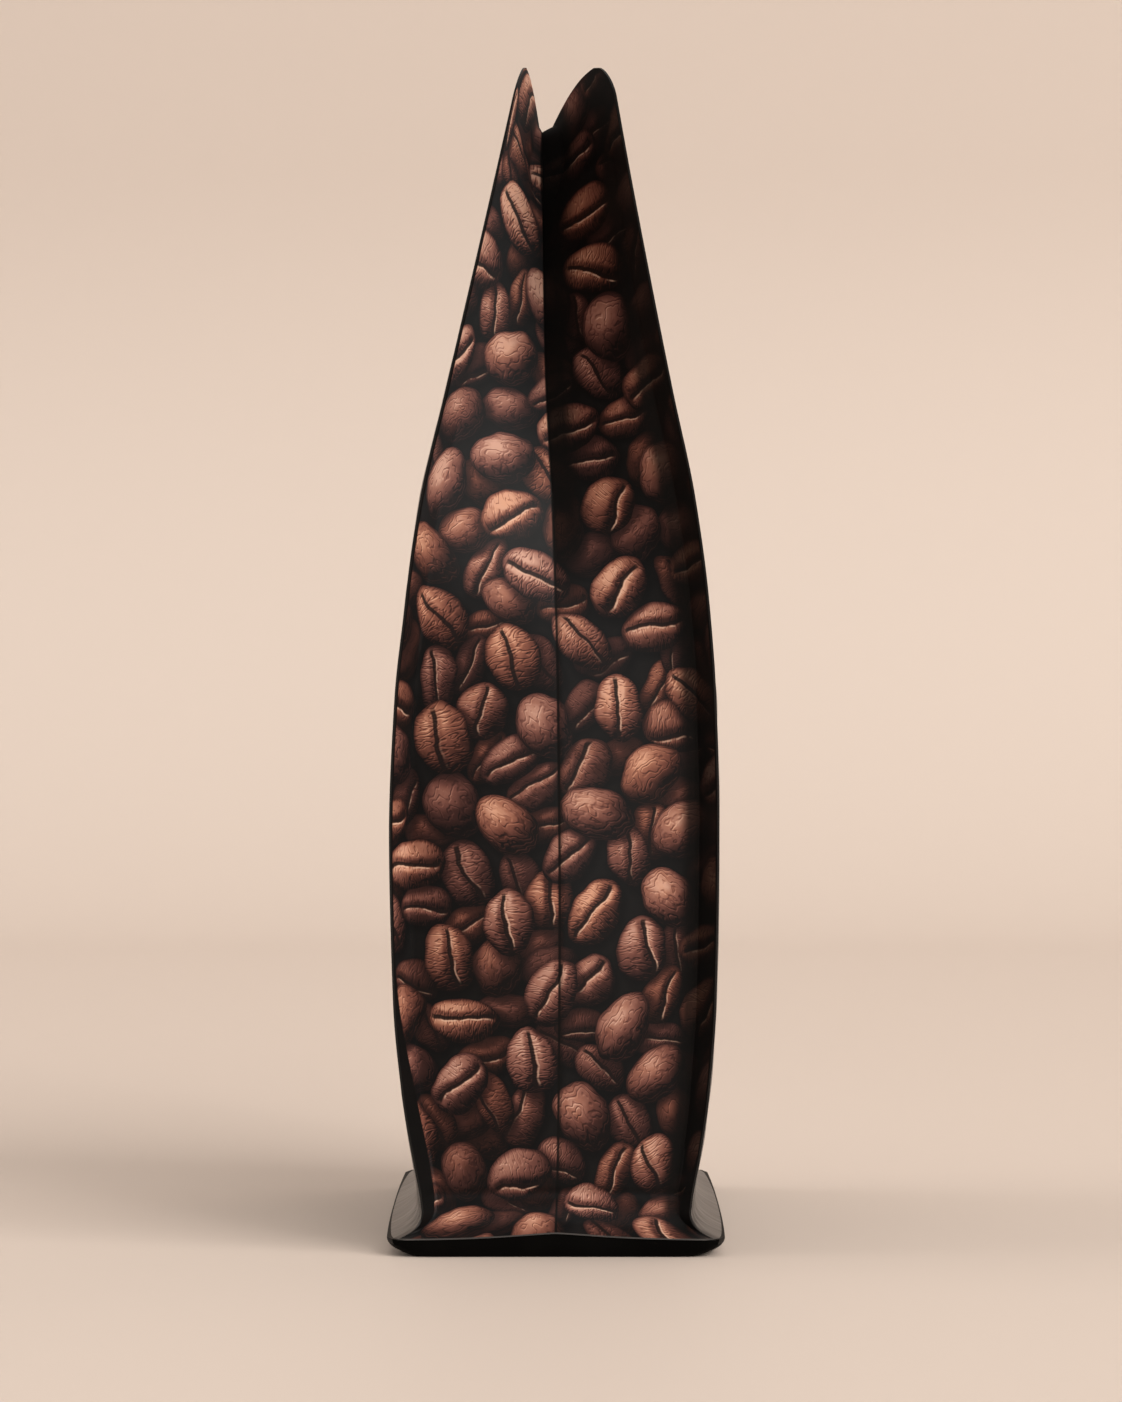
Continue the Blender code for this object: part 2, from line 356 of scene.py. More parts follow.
def gussetFilm(end, seed):
    def place(u, v):
        h = heightsUp(v)
        s = 2 * u - 1
        side = np.where(s < 0, -1.0, 1.0)
        inner = 1 - gusset["stripShare"]
        t = np.clip(np.abs(s) / inner, 0, 1)  # 0 at the crease, 1 where the strip begins
        strip = np.clip((np.abs(s) - inner) / gusset["stripShare"], 0, 1)  # 1 at the seal's tip
        x, depth = gussetForm(side, t, strip, h)
        x, depth = roundRim(x, depth + gussetRelief(s, t, strip, h, seed), h)
        up = lowered(h, depth) + baseRise(x) * (1 - smooth(bag["flange"], gusset["riseTop"], h))
        return np.stack((x, end * depth, up), -1), gussetPrint(side, t, strip, h)

    return place


# the broad panels: plain film with soft dents, and slanting folds above the base
panel = {
    "columns": 120,
    "rows": 280,
    "seeds": (21, 34),
    "dent": 0.75,
    "dentLength": 42.0,
    "dentSwing": 0.8,
    "dentInward": 0.4,
    "dentEnds": (0.8, 0.45),
    "pucker": 0.17,
    "puckerLength": 13.0,
    "puckerSquash": 0.6,
    "puckerRest": 0.4,
    "puckerLow": (40.0, 10.0),
    "freeEnds": (1.0, 0.84),
    "freeFrom": (6.0, 26.0),
    "freeTo": (178.0, 202.0),
    "sealBand": (5.5, 4.5),
    "sealStep": 0.14,
    "fold": 0.35,
    "folds": ((1.5, 0.9, 1.1), (6.0, 1.5, 1.6), (14.0, 2.4, 2.4)),  # from the end, lean, width
    "foldsFrom": (3.4, 5.5),
    "foldsTo": (9.0, 22.0),
    "foldsLow": 4.0,
}


def skirtFolds(fromEnd, h):  # slack gathers in slanting folds above the four base corners
    total = np.zeros(np.broadcast(fromEnd, h).shape)
    for start, lean, wide in panel["folds"]:
        offset = (fromEnd - start - lean * (h - panel["foldsLow"])) / wide
        total += np.exp(-offset * offset)
    return total * smooth(*panel["foldsFrom"], h) * (1 - smooth(*panel["foldsTo"], h))


def panelRelief(reach, y, h, seed):
    free = smooth(*panel["freeEnds"], np.abs(reach)) * smooth(*panel["freeFrom"], h)
    free = free * (1 - smooth(*panel["freeTo"], h))
    waves = panel["dentSwing"] * ripple(seed, panel["dentLength"], y, h) - panel["dentInward"]
    dents = panel["dent"] * waves * smooth(*panel["dentEnds"], np.abs(reach))
    puckers = panel["pucker"] * ripple(seed + 1, panel["puckerLength"], y * panel["puckerSquash"], h)
    rest = panel["puckerRest"]
    puckers = puckers * (rest + (1 - rest) * smooth(*panel["puckerLow"], h))
    return (dents + puckers) * free


def panelFilm(side, seed):
    def place(u, v):
        h = heightsUp(v)
        column = u * panel["columns"]
        wrap = (column < 0.5) | (column > panel["columns"] - 0.5)  # the last columns close the seals
        reach = np.clip(2 * (column - 1) / (panel["columns"] - 2) - 1, -1, 1)
        y = reach * tipDepth(h)
        fromEnd = bag["halfDepth"] * (1 - np.abs(reach))
        step = panel["sealStep"] * smooth(*panel["sealBand"], fromEnd)
        folds = panel["fold"] * skirtFolds(fromEnd, h) * (1 - wrap)
        relief = panelRelief(reach, y, h, seed) - step - folds - bag["sealThick"] * wrap
        x, depth = roundRim(panelX(side, h, np.abs(y)) + side * relief, np.abs(y), h)
        points = np.stack((x, np.sign(y) * depth, lowered(h, depth)), -1)
        return points, np.stack((y, filmUp(h), np.zeros_like(h)), -1)

    return place


print("laying the film")
sheets = {}
for name, settings, form, way, seed, outward in (
    ("gussetFront", gusset, gussetFilm, -1, gusset["seeds"][0], (0, -1, 0)),
    ("gussetBack", gusset, gussetFilm, 1, gusset["seeds"][1], (0, 1, 0)),
    ("panelLeft", panel, panelFilm, -1, panel["seeds"][0], (-1, 0, 0)),
    ("panelRight", panel, panelFilm, 1, panel["seeds"][1], (1, 0, 0)),
):
    sheets[name] = addFilm(name, settings["columns"], settings["rows"], form(way, seed))
    faceOut(sheets[name], outward)
    smoothShade(sheets[name], bag["smoothBelow"])
sheets["baseFilm"] = makeBase()


# the print: beans strewn over the film, nearest first
printing = {
    "seed": 11,
    "slots": 4,  # how many beans each face of the film can hold
    "half": 33.0,
    "bottom": -2.0,
    "top": 222.0,
    "gridBottom": -4.0,
    "gridStep": 0.5,
    "layers": (
        {
            "tries": 2600, "hidden": 0.0, "gap": 0.2,
            "long": (5.6, 6.9), "wide": (4.1, 5.0), "shade": (0.85, 1.08),
        },
        {
            "tries": 2600, "hidden": 0.24, "gap": 0.0,
            "long": (5.1, 6.4), "wide": (3.3, 4.6), "shade": (0.62, 0.85),
        },
        {
            "tries": 2600, "hidden": 0.6, "gap": 0.0,
            "long": (4.8, 6.0), "wide": (2.8, 4.0), "shade": (0.36, 0.58),
        },
    ),
    "slitShare": 0.62,
    "turnedShare": 0.3,
    "turnedTilt": 1.1,
    "tilt": 0.25,
    "shadow": 1.7,
    "shadowFall": 0.55,
    "shadowEdge": (0.75, 1.75),
    "wobbleReach": 0.75,
    "light": (-0.42, 0.62, 0.66),
}


def strewBeans(seed):
    dice = random.Random(seed)
    xs = np.arange(-printing["half"], printing["half"], printing["gridStep"])
    ys = np.arange(printing["gridBottom"], printing["top"], printing["gridStep"])
    gridX, gridY = np.meshgrid(xs, ys)
    taken = np.zeros(gridX.shape, bool)
    beans = []
    for layer in printing["layers"]:
        for _ in range(layer["tries"]):
            x = dice.uniform(-printing["half"], printing["half"])
            y = dice.uniform(printing["bottom"], printing["top"])
            turn = dice.uniform(0, 2 * math.pi)
            a = dice.uniform(*layer["long"])
            b = dice.uniform(*layer["wide"])
            marks = [dice.random() for _ in range(4)]
            lengthwise = ((gridX - x) * math.cos(turn) + (gridY - y) * math.sin(turn)) / (a + layer["gap"])
            across = (-(gridX - x) * math.sin(turn) + (gridY - y) * math.cos(turn)) / (b + layer["gap"])
            inside = lengthwise**2 + across**2 < 1
            if taken[inside].mean() > layer["hidden"]:
                continue
            taken |= inside
            tilt = printing["turnedTilt"] if marks[3] < printing["turnedShare"] else printing["tilt"]
            dark, pale = layer["shade"]
            beans.append({
                "x": x, "y": y, "turn": turn, "a": a, "b": b, "seed": marks[0],
                "slit": 1.0 if marks[1] < printing["slitShare"] else 0.0,
                "tilt": (marks[2] - 0.5) * tilt,
                "shade": dark + (pale - dark) * marks[3],
            })
    return beans


def beansOnFaces(piece, beans):  # for each face the beans that show on it, then the ones that shade it
    count = len(piece.data.polygons)
    spots = np.zeros(len(piece.data.vertices) * 3, np.float32)
    piece.data.attributes["filmPlace"].data.foreach_get("vector", spots)
    corners = np.zeros(count * 4, np.int32)
    piece.data.polygons.foreach_get("vertices", corners)
    spots = spots.reshape(-1, 3)[corners.reshape(-1, 4)]
    centre = spots.mean(1)
    reach = np.linalg.norm(spots - centre[:, None], axis=2).max(1) + printing["wobbleReach"]
    showing = [[] for _ in range(count)]
    shading = [[] for _ in range(count)]
    closed = np.zeros(count, bool)
    for order, one in enumerate(beans):
        c, s = math.cos(one["turn"]), math.sin(one["turn"])
        dx, dy = centre[:, 0] - one["x"], centre[:, 1] - one["y"]
        near = np.hypot((dx * c + dy * s) / one["a"], (-dx * s + dy * c) / one["b"])
        over = near < 1 + reach / one["b"]
        for face in np.flatnonzero(over & ~closed):
            showing[face].append(order)
        for face in np.flatnonzero(~over & ~closed & (near < 1 + (reach + printing["shadow"]) / one["b"])):
            shading[face].append((near[face], order))
        closed |= near < 1 - reach / one["b"]
    return showing, shading


def writeBeans(piece, beans):  # each face learns the form of its beans, nearest first
    showing, shading = beansOnFaces(piece, beans)
    count, slots = len(showing), printing["slots"]
    facts = {
        kind: np.zeros((slots, count, 3), np.float32)
        for kind in ("beanSpot", "beanLong", "beanWide", "beanKind")
    }
    # an empty slot holds a bean far off to one side of the film
    facts["beanSpot"][:, :, 0] = -500
    facts["beanLong"][:, :, 0] = 0.2
    facts["beanWide"][:, :, 1] = 0.2
    for face in range(count):
        kept = showing[face][:slots]
        kept += [order for _, order in sorted(shading[face])[: slots - len(kept)]]
        for slot, order in enumerate(sorted(kept)):
            one = beans[order]
            c, s = math.cos(one["turn"]), math.sin(one["turn"])
            facts["beanSpot"][slot, face] = (one["x"], one["y"], one["seed"] * 10)
            facts["beanLong"][slot, face] = (c / one["a"], s / one["a"], 0)
            facts["beanWide"][slot, face] = (-s / one["b"], c / one["b"], 0)
            facts["beanKind"][slot, face] = (one["slit"], one["shade"], one["tilt"])
    for kind, values in facts.items():
        for slot in range(slots):
            made = piece.data.attributes.new(f"{kind}{slot}", "FLOAT_VECTOR", "FACE")
            made.data.foreach_set("vector", values[slot].ravel())
    crowded = sum(len(orders) > slots for orders in showing)
    print(piece.name, "beans", len(beans), "faces", count, "crowded", crowded)


print("strewing beans")
writeBeans(sheets["gussetFront"], strewBeans(printing["seed"]))
writeBeans(sheets["gussetBack"], strewBeans(printing["seed"] + 1))


# shader maths as plain expressions
class Wire:
    def __init__(self, bench, socket):
        self.bench, self.socket = bench, socket

    def maths(self, operation, *values):
        return self.bench.add("ShaderNodeMath", {"operation": operation}, dict(enumerate(values)))

    def __add__(self, other):
        return self.maths("ADD", self, other)

    def __radd__(self, other):
        return self.maths("ADD", other, self)

    def __sub__(self, other):
        return self.maths("SUBTRACT", self, other)

    def __rsub__(self, other):
        return self.maths("SUBTRACT", other, self)

    def __mul__(self, other):
        return self.maths("MULTIPLY", self, other)

    def __rmul__(self, other):
        return self.maths("MULTIPLY", other, self)

    def __truediv__(self, other):
        return self.maths("DIVIDE", self, other)

    def __rtruediv__(self, other):
        return self.maths("DIVIDE", other, self)

    def __pow__(self, other):
        return self.maths("POWER", self, other)

    def __neg__(self):
        return self.maths("MULTIPLY", self, -1.0)

    def __abs__(self):
        return self.maths("ABSOLUTE", self)

    def __lt__(self, other):
        return self.maths("LESS_THAN", self, other)

    def __gt__(self, other):
        return self.maths("GREATER_THAN", self, other)

    def root(self):
        return self.maths("SQRT", self)

    def sine(self):
        return self.maths("SINE", self)

    def sign(self):
        return self.maths("SIGN", self)

    def exponent(self):
        return self.maths("EXPONENT", self)

    def foldBack(self, length):  # runs up to length and back again, over and over
        return self.maths("PINGPONG", self, length)

    def most(self, other):
        return self.maths("MAXIMUM", self, other)

    def smooth(self, low, high):
        values = {0: self, 1: low, 2: high, 3: 0.0, 4: 1.0}
        return self.bench.add("ShaderNodeMapRange", {"interpolation_type": "SMOOTHSTEP"}, values)


class Bench:
    def __init__(self, name):
        self.material = bpy.data.materials.new(name)
        self.material.use_nodes = True
        self.nodes = self.material.node_tree.nodes
        self.links = self.material.node_tree.links
        self.shader = self.nodes["Principled BSDF"]

    def add(self, kind, settings, values, out=0):
        made = self.nodes.new(kind)
        for key, value in settings.items():
            if key == "stops":
                self.fillRamp(made.color_ramp, value)
            else:
                setattr(made, key, value)
        self.fill(made, values)
        return Wire(self, made.outputs[out])

    def fill(self, node, values):
        for key, value in values.items():
            if isinstance(value, Wire):
                self.links.new(value.socket, node.inputs[key])
            else:
                node.inputs[key].default_value = value

    def fillRamp(self, ramp, stops):
        while len(ramp.elements) < len(stops):
            ramp.elements.new(0.5)
        for element, (place, colour) in zip(ramp.elements, stops):
            element.position = place
            element.color = (*colour, 1.0)

    def attribute(self, name):
        return self.add("ShaderNodeAttribute", {"attribute_name": name}, {}, "Vector")

    def vector(self, operation, *values, out=0):
        return self.add("ShaderNodeVectorMath", {"operation": operation}, dict(enumerate(values)), out)

    def dot(self, a, b):
        return self.vector("DOT_PRODUCT", a, b, out="Value")

    def joined(self, x, y, z):
        return self.add("ShaderNodeCombineXYZ", {}, {0: x, 1: y, 2: z})

    def parts(self, vector):
        first = self.add("ShaderNodeSeparateXYZ", {}, {0: vector})
        return [Wire(self, socket) for socket in first.socket.node.outputs]

    def blend(self, kind, factor, a, b):
        start = {"FLOAT": 2, "VECTOR": 4, "RGBA": 6}[kind]
        out = {"FLOAT": 0, "VECTOR": 1, "RGBA": 2}[kind]
        return self.add("ShaderNodeMix", {"data_type": kind}, {0: factor, start: a, start + 1: b}, out)

    def tint(self, how, factor, a, b):
        settings = {"data_type": "RGBA", "blend_type": how}
        return self.add("ShaderNodeMix", settings, {0: factor, 6: a, 7: b}, 2)

    def noise(self, vector, scale, detail=2.0, rough=0.5, out="Fac"):
        values = {"Vector": vector, "Scale": scale, "Detail": detail, "Roughness": rough}
        return self.add("ShaderNodeTexNoise", {}, values, out)

    def finish(self, values):
        self.fill(self.shader, values)
        return self.material


# how a printed bean is drawn: u runs along it and v across it, both 1 at its rim
beanLook = {
    "wobble": 2.2,
    "wobbleScale": 0.16,
    "stops": (
        (0.0, (0.003, 0.0018, 0.0017)),
        (0.22, (0.0365, 0.0136, 0.0114)),
        (0.45, (0.134, 0.0525, 0.0410)),
        (0.70, (0.272, 0.126, 0.094)),
        (1.0, (0.50, 0.295, 0.226)),
    ),
    "warm": (1.08, 0.955, 0.80, 1.0),
    "cool": (0.99, 0.965, 0.94, 1.0),
    "gap": (0.0042, 0.0036, 0.0034, 1.0),
    "gapShadow": (0.35, 0.33, 0.32, 1.0),
    # the colour of the painted sheen laid over the print
    "paintedSheenColour": (0.0146, 0.0158, 0.0168, 1.0),
    # the slit, and the pale lip beside it that faces the light
    "slit": (0.006, 0.003, 0.0024, 1.0),
    "slitWidth": (0.054, 0.1215),
    "slitBend": 0.2,
    "slitWander": 0.22,
    "slitEnds": (0.78, 1.0),
    "slitRim": (0.68, 0.98),
    "slitDark": 0.96,
    "lip": (0.62, 0.40, 0.29, 1.0),
    "lipAside": 0.125,
    "lipWidth": (0.012, 0.05),
    "lipPatches": (0.36, 0.54),
    "lipTurned": (0.1, 0.5),
    "lipEnds": (0.55, 0.85),
    "lipRim": (0.5, 0.85),
    "lipPale": 0.7,
    "grooveWidth": 0.22,
    "grooveDepth": 0.15,
    "domeFloor": 0.04,
    "slitFlatter": 0.35,
    # how much each part adds to the tone, and how soft the parts are
    "facing": 0.68,
    "shine": 0.27,
    "shinePower": 13.0,
    "emboss": 0.15,
    "embossSlit": 0.03,
    "embossShine": 0.28,
    "embossNudge": 0.045,
    "furrow": 0.09,
    "mottle": 0.34,
    "roastMottle": 2.5,
    "underOthers": 0.28,
    "rim": (0.72, 1.0),
    "rimDark": 0.5,
}

# painted light on the print: a pool of painted light in its middle, painted light high up left of the fold
# and painted shade high up right of it, a painted sheen, and darker towards the bottom
paintedLightOnPrint = {
    "at": (6.0, 92.0),
    "size": (15.0, 42.0),
    "lift": 0.16,
    "leftPaintedLight": ((112.0, 150.0, 0.25), (165.0, 195.0, 0.4)),  # from, to, how much
    "rightPaintedShade": ((108.0, 150.0, 0.12), (180.0, 204.0, 0.12)),
    "baseClear": (20.0, 70.0),
    "baseDim": 0.05,
    "paintedSheen": 0.37,
    "paintedSheenAll": 0.21,
    "high": (108.0, 150.0),
    "leftPaintedSheen": 0.77,
    "highClear": 0.12,
}


def nearbyBeans(bench, spot, light):  # each slot's bean, as this point of the film sees it
    fall = [c * printing["shadow"] * printing["shadowFall"] for c in (light.x, light.y, 0)]
    found = []
    for slot in range(printing["slots"]):
        centre = bench.attribute(f"beanSpot{slot}")
        longWay = bench.attribute(f"beanLong{slot}")
        wideWay = bench.attribute(f"beanWide{slot}")
        away = bench.vector("SUBTRACT", spot, centre)
        u, v = bench.dot(away, longWay), bench.dot(away, wideWay)
        shadowU, shadowV = u + bench.dot(longWay, fall), v + bench.dot(wideWay, fall)
        found.append({
            "inside": (u * u + v * v) < 1.0,
            "clear": (shadowU * shadowU + shadowV * shadowV).smooth(*printing["shadowEdge"]),
            "place": bench.joined(u, v, bench.parts(centre)[2]),
            "way": longWay,
            "kind": bench.attribute(f"beanKind{slot}"),
        })
    return found


def topBean(bench, found):  # the nearest bean that covers the point, and what light is left beneath all
    light = 1.0
    for one in found:
        one["light"] = light
        light = one["clear"] * light
    top = dict(found[-1])
    for one in reversed(found[:-1]):
        for key in ("place", "way", "kind"):
            top[key] = bench.blend("VECTOR", one["inside"], top[key], one[key])
        top["light"] = bench.blend("FLOAT", one["inside"], top["light"], one["light"])
        top["inside"] = top["inside"].most(one["inside"])
    return top, light


def readBean(bench, top, light):  # the facts that the shading of the covering bean needs
    u, v, seed = bench.parts(top["place"])
    slit, depthShade, tilt = bench.parts(top["kind"])
    wayX, wayY, _ = bench.parts(bench.vector("NORMALIZE", top["way"]))
    return {
        "u": u, "v": v, "r2": u * u + v * v, "seed": seed,
        "slit": slit, "depthShade": depthShade, "tilt": tilt,
        "lightU": wayX * light.x + wayY * light.y,
        "lightV": wayX * light.y - wayY * light.x,
    }


def slitLine(bench, it):  # how far a point is from the bent slit, and where the slit runs out
    u, seed = it["u"], it["seed"]
    bend = (seed * 12.9).sine() * beanLook["slitBend"]
    wander = bench.noise(bench.joined(u * 1.4, seed, 0.0), 1.6, 2.0, 0.6) - 0.5
    off = it["v"] - it["tilt"] - (u * 2.3).sine() * bend - wander * beanLook["slitWander"]
    ends = (1.0 - abs(u).smooth(*beanLook["slitEnds"])) * (1.0 - it["r2"].smooth(*beanLook["slitRim"]))
    return off, it["slit"] * ends


def domeLight(it, off, slitHere, light):  # soft light and a highlight on a dome with a groove in it
    lightU, lightV = it["lightU"], it["lightV"]
    width = beanLook["grooveWidth"]
    dome = (1.0 - it["r2"]).most(beanLook["domeFloor"]).root()
    groove = ((off * off) / (-width * width)).exponent()
    slope = off * groove * slitHere * (2 * beanLook["grooveDepth"] / (width * width))
    steep = 1.0 - beanLook["slitFlatter"] * it["slit"]
    normalU = it["u"] / dome * steep
    normalV = it["v"] / dome * steep - slope
    size = (normalU * normalU + normalV * normalV + 1.0).root()
    facing = ((normalU * lightU + normalV * lightV + light.z) / size).most(0.0)
    half = (light + Vector((0, 0, 1))).normalized()
    halfSide = math.hypot(half.x, half.y) / math.hypot(light.x, light.y)
    mirrored = normalU * lightU * halfSide + normalV * lightV * halfSide + half.z
    return facing, (mirrored / size).most(0.0) ** beanLook["shinePower"]


# a wrinkle's numbers are (on the round side, and what the slit side adds to it)
wrinkle = {
    "squeezeAlong": (1.4, 1.9),
    "squeezeAcross": (1.6, -0.8),
    "uneven": (5.2, 1.2),
    "rings": (3.8, -3.8),
    "size": 1.35,
    "detail": 1.8,
    "domeFloor": 0.03,
    "soft": 0.5,
}


def wrinkles(bench, u, v, seed, slit):  # 1 on smooth skin, falling to 0 in a wrinkle
    def onSide(key):
        plain, extra = wrinkle[key]
        return plain + extra * slit

    dome = (1.0 - u * u - v * v).most(wrinkle["domeFloor"]).root()
    squeezed = bench.joined(u * onSide("squeezeAlong"), v * onSide("squeezeAcross"), seed)
    level = bench.noise(squeezed, wrinkle["size"], wrinkle["detail"], 0.5) * onSide("uneven")
    level = level + dome * onSide("rings")
    return (level.foldBack(0.5) * 2.0).smooth(0.0, wrinkle["soft"])


def paintedLightAt(x, y):  # the painted light and painted sheen laid over the print at a place: how much brighter, and how much sheen
    look = paintedLightOnPrint
    offX, offY = (x - look["at"][0]) / look["size"][0], (y - look["at"][1]) / look["size"][1]
    # a pool of painted light and painted sheen in the middle of the print
    patch = (-(offX * offX + offY * offY)).exponent()
    left, right = x < 0.0, x > 0.0
    lift = patch * look["lift"] - (1.0 - y.smooth(*look["baseClear"])) * look["baseDim"]
    for low, high, much in look["leftPaintedLight"]:
        lift = lift + left * y.smooth(low, high) * much
    for low, high, much in look["rightPaintedShade"]:
        lift = lift - right * y.smooth(low, high) * much
    paintedSheen = patch * look["paintedSheen"] + look["paintedSheenAll"]
    paintedSheen = paintedSheen + y.smooth(*look["high"]) * (left * look["leftPaintedSheen"] - look["highClear"])
    return lift, paintedSheen


def slitMarks(bench, it, off, slitHere, shade):
    u, lightV = it["u"], it["lightV"]
    dark = (1.0 - abs(off).smooth(*beanLook["slitWidth"])) * slitHere
    patchy = bench.noise(bench.joined(u * 2.2, it["seed"], 3.0), 2.0, 2.0, 0.6)
    beside = off + lightV.sign() * beanLook["lipAside"]
    lip = (1.0 - abs(beside).smooth(*beanLook["lipWidth"])) * slitHere
    lip = lip * patchy.smooth(*beanLook["lipPatches"])
    lip = lip * abs(lightV).smooth(*beanLook["lipTurned"]) * it["depthShade"] * shade
    lip = lip * (1.0 - abs(u).smooth(*beanLook["lipEnds"])) * (1.0 - it["r2"].smooth(*beanLook["lipRim"]))
    return dark, lip


def beanPrint(bench, place, x, y):
    look = beanLook
    light = Vector(printing["light"]).normalized()
    shift = bench.noise(place, look["wobbleScale"], 1.0, 0.5, "Color")
    shift = bench.vector("SUBTRACT", shift, (0.5, 0.5, 0.5))
    shift = bench.vector("MULTIPLY", shift, (look["wobble"], look["wobble"], 0))
    top, openLight = topBean(bench, nearbyBeans(bench, bench.vector("ADD", place, shift), light))
    it = readBean(bench, top, light)
    off, slitHere = slitLine(bench, it)
    facing, shine = domeLight(it, off, slitHere, light)
    u, v, seed, slit = it["u"], it["v"], it["seed"], it["slit"]
    towardsU, towardsV = u + it["lightU"] * look["embossNudge"], v + it["lightV"] * look["embossNudge"]
    skin = wrinkles(bench, u, v, seed, slit)
    emboss = skin - wrinkles(bench, towardsU, towardsV, seed, slit)
    mottle = bench.noise(bench.joined(u * 2.0, v * 2.0, seed + 4.0), 1.5, 3.0, 0.6) - 0.5
    # painted light and painted shade by place, and a painted sheen, over the whole print
    lift, paintedSheen = paintedLightAt(x, y)
    embossed = emboss * (look["emboss"] + look["embossSlit"] * slit + shine * look["embossShine"])
    tone = facing * look["facing"] + shine * look["shine"] + embossed
    tone = tone + (skin - 1.0) * look["furrow"] + mottle * look["mottle"]
    rim = 1.0 - it["r2"].smooth(*look["rim"]) * look["rimDark"]
    under = top["light"] * (1.0 - look["underOthers"]) + look["underOthers"]
    tone = tone * it["depthShade"] * rim * under * (1.0 + lift)
    colour = bench.add("ShaderNodeValToRGB", {"stops": look["stops"]}, {0: tone})
    roasted = ((seed * 7.7).sine() + mottle * look["roastMottle"]).smooth(-1.0, 1.0)
    colour = bench.tint("MULTIPLY", 1.0, colour, bench.blend("RGBA", roasted, look["warm"], look["cool"]))
    dark, lip = slitMarks(bench, it, off, slitHere, top["light"])
    colour = bench.blend("RGBA", dark * look["slitDark"], colour, look["slit"])
    colour = bench.blend("RGBA", lip * look["lipPale"], colour, look["lip"])
    gap = bench.tint("MULTIPLY", 1.0 - openLight, look["gap"], look["gapShadow"])
    colour = bench.blend("RGBA", top["inside"], gap, colour)
    # the painted sheen is added over everything
    return bench.tint("ADD", paintedSheen, colour, look["paintedSheenColour"])


# black film, with a margin left bare at its edges, painted shade in the deep fold, beside the right seal
# and along the crease, and a painted highlight along its bottom edge
printLook = {
    "rough": 0.46,
    "roughVary": 0.16,
    "ior": 1.18,
    "margin": 0.7,
    "marginAtBase": 4.4,
    "marginLeft": (18.0, 58.0),
    "marginRight": (8.0, 22.0),
    "marginSoft": (-0.15, 0.15),
    "crease": (0.12, 0.384),
    "creasePaintedShade": 0.95,
    "creaseShade": 1.1,
    "creaseShadeDark": 0.6,
    "deepFold": (2.8, 8.0),
    "deepFrom": (112.0, 136.0),
    "foldPaintedShade": 0.97,
    "deepRough": 0.8,
    "topRough": (196.0, 204.0),
    "sealShade": (7.2, 9.6),
    "sealPaintedShade": 0.9,
    "lipTop": 3.22,
    "lipPaintedHighlight": (0.06, 0.054, 0.05, 1.0),
}
plainLook = {
    "colour": (0.0042, 0.0039, 0.0037, 1.0),
    "worn": (0.009, 0.0084, 0.008, 1.0),
    "rough": 0.34,
    "roughVary": 0.16,
    "ior": 1.36,
    "crinkle": 0.3,
}
wornWhere = (0.3, 0.75)
baseLook = {
    "colour": (0.0010, 0.0009, 0.0008, 1.0),
    "worn": (0.0022, 0.002, 0.0018, 1.0),
    "rough": 0.5,
    "roughVary": 0.12,
    "specular": 0.03,
}


def makePrintedFilm():
    bench, look, black = Bench("printedFilm"), printLook, plainLook["colour"]
    place = bench.vector("MULTIPLY", bench.attribute("filmPlace"), (1.0, 1.0, 0.0))
    x, y, _ = bench.parts(place)
    colour = beanPrint(bench, place, x, y)
    toEdge = bench.parts(bench.attribute("filmPlace"))[2]
    left, right = x < 0.0, x > 0.0
    low = (1.0 - y.smooth(*look["marginLeft"])) * left
    low = low + (1.0 - y.smooth(*look["marginRight"])) * (1.0 - left)
    bare = 1.0 - (toEdge - look["margin"] - low * look["marginAtBase"]).smooth(*look["marginSoft"])
    colour = bench.blend("RGBA", bare, colour, black)
    # painted shade: deep in the fold right of the crease, and beside the right seal
    besideFold = (1.0 - x.smooth(*look["deepFold"])) * right * y.smooth(*look["deepFrom"])
    besideSeal = (1.0 - toEdge.smooth(*look["sealShade"])) * right
    shaded = (besideFold * look["foldPaintedShade"]).most(besideSeal * look["sealPaintedShade"])
    colour = bench.blend("RGBA", shaded, colour, black)
    # painted shade: a dark line along the crease, and a shaded band just right of it
    crease = (1.0 - abs(x).smooth(*look["crease"])) * look["creasePaintedShade"]
    beyond = (1.0 - x.smooth(0.0, look["creaseShade"])) * right * look["creaseShadeDark"]
    colour = bench.blend("RGBA", crease.most(beyond), colour, black)
    # a painted highlight along the bottom edge of the film
    colour = bench.blend("RGBA", y < look["lipTop"], colour, look["lipPaintedHighlight"])
    smear = bench.noise(bench.vector("MULTIPLY", place, (1.0, 0.4, 1.0)), 0.09, 3.0, 0.55)
    rough = look["rough"] + (smear - 0.5) * look["roughVary"]
    rough = bench.blend("FLOAT", besideFold.most(y.smooth(*look["topRough"])), rough, look["deepRough"])
    return bench.finish({"Base Color": colour, "Roughness": rough, "Metallic": 0.0, "IOR": look["ior"]})


def makePlainFilm():
    bench, look = Bench("plainFilm"), plainLook
    place = bench.attribute("filmPlace")
    smear = bench.noise(bench.vector("MULTIPLY", place, (0.7, 0.4, 1.0)), 0.07, 3.0, 0.55)
    rough = look["rough"] + (smear - 0.5) * look["roughVary"]
    colour = bench.blend("RGBA", smear.smooth(*wornWhere), look["colour"], look["worn"])
    crinkle = bench.noise(bench.vector("MULTIPLY", place, (1.0, 0.55, 1.0)), 0.2, 3.0, 0.5)
    bump = bench.add("ShaderNodeBump", {}, {"Strength": look["crinkle"], "Distance": mm, "Height": crinkle})
    return bench.finish({
        "Base Color": colour, "Roughness": rough, "Metallic": 0.0, "IOR": look["ior"], "Normal": bump,
    })


